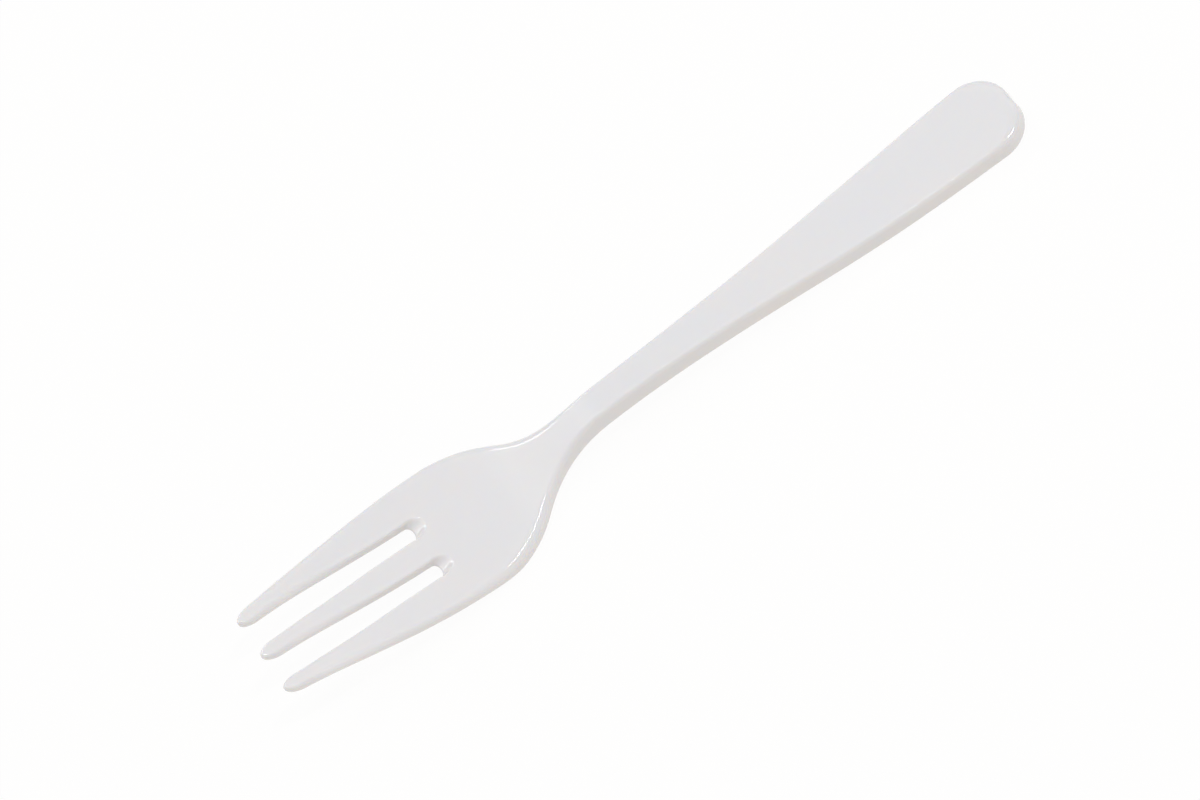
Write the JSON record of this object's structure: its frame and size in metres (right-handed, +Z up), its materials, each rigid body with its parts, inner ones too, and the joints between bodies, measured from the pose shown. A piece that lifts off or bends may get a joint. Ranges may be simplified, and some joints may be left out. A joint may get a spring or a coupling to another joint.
{
  "type": "plastic fork",
  "caption": "White moulded plastic dessert fork with rounded tines, a shallow dished head, a narrow raised neck and a flat handle that widens to a round end.",
  "frame": {"origin": "on the table under the middle of the fork's length, on its middle line", "axes": "+X along the fork from the tine tips to the end of the handle, +Z up out of the eating face"},
  "size_m": [0.1499, 0.0264, 0.0081],
  "materials": {
    "white_plastic": "glossy moulded polystyrene, white"
  },
  "bodies": {
    "root": {"fork": "white_plastic"}
  },
  "joints": []
}
